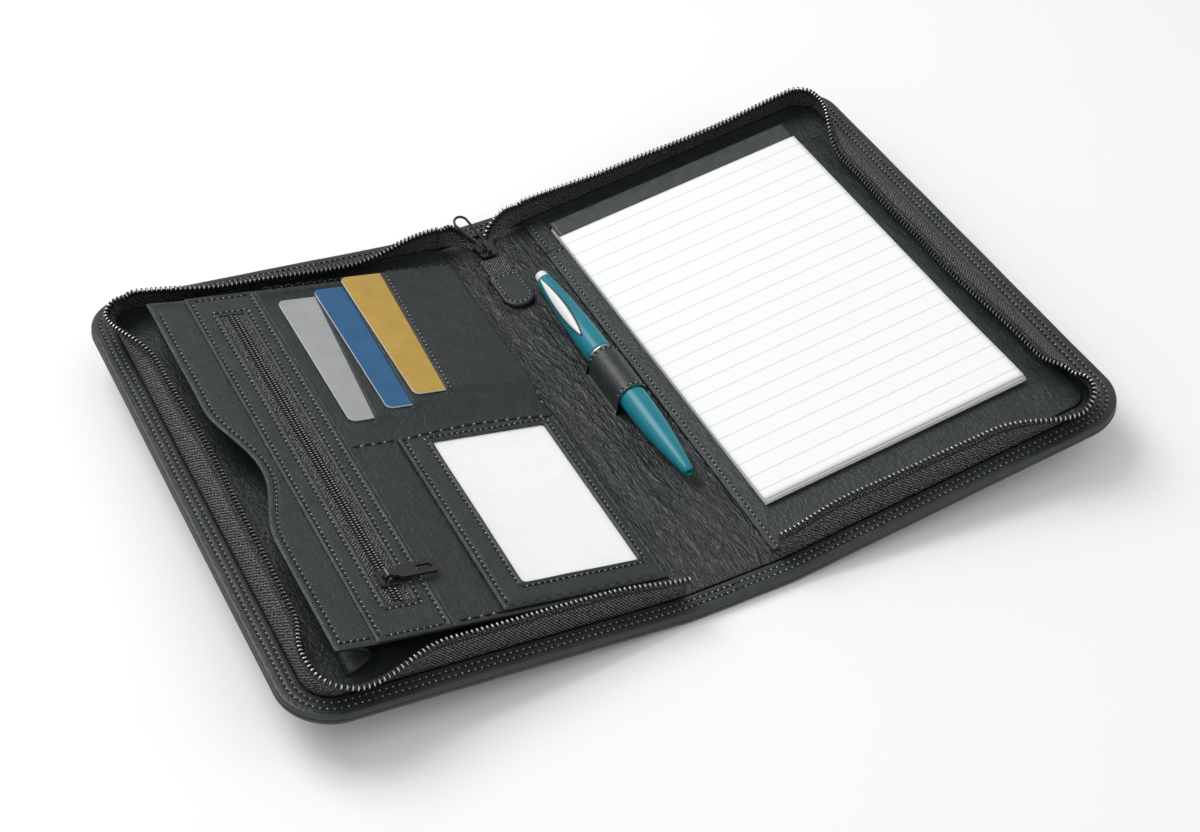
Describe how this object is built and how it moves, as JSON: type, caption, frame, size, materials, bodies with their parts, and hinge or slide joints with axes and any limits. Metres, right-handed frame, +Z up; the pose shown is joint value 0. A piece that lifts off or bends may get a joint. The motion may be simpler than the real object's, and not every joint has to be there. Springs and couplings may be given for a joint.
{
  "type": "zippered padfolio",
  "caption": "Zippered leather padfolio lying open: hinged covers with a zip round three sides, a card and document organizer, a ruled pad and a pen in a spine loop.",
  "frame": {"origin": "middle of the spine's underside, on the table", "axes": "+X across the open folio to the pad's side, +Y to the pad's head, +Z up"},
  "size_m": [0.3782, 0.265, 0.0409],
  "materials": {
    "cover_leather": "grained, satin",
    "inner_leather": "smooth, satin",
    "crinkled_lining": "crinkled, satin",
    "board": "raw",
    "padding": "soft",
    "zip_tape": "woven",
    "zip_teeth": "moulded",
    "slider_metal": "black enamel",
    "grey_card": "satin",
    "blue_card": "satin",
    "gold_card": "satin",
    "white_card": "matte",
    "clear_film": "clear",
    "paper": "matte, pale blue rules",
    "binding": "dark glossy tape",
    "teal_barrel": "satin",
    "silver": "polished",
    "white_plastic": "gloss",
    "refill_brass": "plain",
    "spring_steel": "plain"
  },
  "bodies": {
    "spine": {"spine_outer_leather": "cover_leather", "spine_padding": "padding", "spine_lining": "crinkled_lining", "spine_edge_bands": "cover_leather", "left_throat_tape": "zip_tape", "right_throat_tape": "zip_tape", "zip_tail_tape": "zip_tape", "zip_tail_tab": "cover_leather", "pen_loop": "inner_leather"},
    "left_cover": {"left_outer_leather": "cover_leather", "left_board": "board", "left_liner": "inner_leather", "left_edge_band": "cover_leather", "left_zip_tape": "zip_tape", "left_zip_teeth": "zip_teeth", "front_gusset": "inner_leather", "back_gusset": "inner_leather"},
    "right_cover": {"right_outer_leather": "cover_leather", "right_board": "board", "right_liner": "inner_leather", "right_edge_band": "cover_leather", "right_zip_tape": "zip_tape", "right_zip_teeth": "zip_teeth", "pad_pocket_panel": "inner_leather"},
    "organizer": {"document_pocket_wall": "inner_leather", "zip_pocket_panel": "inner_leather", "card_panel": "inner_leather", "pocket_zip_tapes": "zip_tape", "pocket_zip_teeth": "zip_teeth", "grey_card_pocket": "inner_leather", "blue_card_pocket": "inner_leather", "gold_card_pocket": "inner_leather", "window_pocket_frame": "inner_leather", "window_film": "clear_film"},
    "grey_card": {"grey_card": "grey_card"},
    "blue_card": {"blue_card": "blue_card"},
    "gold_card": {"gold_card": "gold_card"},
    "blank_card": {"blank_card": "white_card"},
    "pocket_slider": {"pocket_zip_slider": "slider_metal"},
    "pocket_pull": {"pocket_zip_pull": "slider_metal"},
    "pad": {"pad_backing_board": "board", "pad_sheets": "paper", "pad_binding_strip": "binding"},
    "page": {"pad_top_sheet": "paper"},
    "pen": {"pen_lower_barrel": "teal_barrel", "pen_upper_barrel": "teal_barrel", "pen_ring": "silver", "pen_spring": "spring_steel"},
    "pen_button": {"pen_button": "white_plastic"},
    "pen_refill": {"pen_refill": "refill_brass"},
    "pen_clip": {"pen_clip": "silver"},
    "main_slider": {"main_zip_slider": "slider_metal"},
    "main_pull": {"main_zip_pull": "slider_metal"}
  },
  "joints": [
    {"name": "left_fold", "type": "hinge", "parent": "spine", "child": "left_cover", "pos_m": [-0.022, 0, 0.005], "axis": [0, 1, 0], "range_deg": [-7.5, 82], "deforming": ["left_throat_tape", "left_zip_tape", "left_zip_teeth"]},
    {"name": "right_fold", "type": "hinge", "parent": "spine", "child": "right_cover", "pos_m": [0.022, 0, 0.005], "axis": [0, -1, 0], "range_deg": [-7.5, 82], "deforming": ["right_throat_tape", "right_zip_tape", "right_zip_teeth"]},
    {"name": "organizer_press", "type": "hinge", "parent": "left_cover", "child": "organizer", "pos_m": [-0.022, 0, 0.005], "axis": [0, -1, 0], "range_deg": [-6, 5.4], "deforming": ["front_gusset", "back_gusset"]},
    {"name": "grey_card_slide", "type": "slide", "parent": "organizer", "child": "grey_card", "axis": [-0.9744, 0, 0.225], "range_m": [0, 0.042]},
    {"name": "blue_card_slide", "type": "slide", "parent": "organizer", "child": "blue_card", "axis": [-0.9744, 0, 0.225], "range_m": [0, 0.042]},
    {"name": "gold_card_slide", "type": "slide", "parent": "organizer", "child": "gold_card", "axis": [-0.9744, 0, 0.225], "range_m": [0, 0.042]},
    {"name": "blank_card_slide", "type": "slide", "parent": "organizer", "child": "blank_card", "axis": [-0.9744, 0, 0.225], "range_m": [0, 0.026]},
    {"name": "pocket_zip_slide", "type": "slide", "parent": "organizer", "child": "pocket_slider", "axis": [0, -1, 0], "range_m": [-0.164, 0]},
    {"name": "pocket_pull_flip", "type": "hinge", "parent": "pocket_slider", "child": "pocket_pull", "pos_m": [-0.13117, -0.084, 0.03492], "axis": [0, -1, 0], "range_deg": [0, 150]},
    {"name": "pad_slide", "type": "slide", "parent": "right_cover", "child": "pad", "axis": [0, 1, 0], "range_m": [0, 0.215]},
    {"name": "page_flip", "type": "hinge", "parent": "pad", "child": "page", "pos_m": [0.09319, 0.0968, 0.01967], "axis": [-0.9914, 0, -0.1305], "range_deg": [0, 150]},
    {"name": "pen_slide", "type": "slide", "parent": "spine", "child": "pen", "axis": [0, 1, 0], "range_m": [0, 0.09]},
    {"name": "pen_click", "type": "slide", "parent": "pen", "child": "pen_button", "axis": [0, -1, 0], "range_m": [0, 0.004], "stiffness_N_per_m": 400, "deforming": ["pen_spring"]},
    {"name": "refill_slide", "type": "slide", "parent": "pen", "child": "pen_refill", "axis": [0, -1, 0], "range_m": [0, 0.004]},
    {"name": "pen_clip_flex", "type": "hinge", "parent": "pen", "child": "pen_clip", "pos_m": [0.00686, 0.064, 0.01518], "axis": [-0.766, 0, -0.6428], "range_deg": [0, 4], "stiffness_Nm_per_rad": 0.3},
    {"name": "main_zip_slide", "type": "slide", "parent": "spine", "child": "main_slider", "axis": [0, -1, 0], "range_m": [0, 0.007]},
    {"name": "main_pull_flip", "type": "hinge", "parent": "main_slider", "child": "main_pull", "pos_m": [-0.0025, 0.1074, 0.0093], "axis": [0.9205, 0.3907, 0], "range_deg": [0, 110]}
  ],
  "couplings": [
    {"joint": "refill_slide", "follows": "pen_click", "ratio": 1}
  ]
}
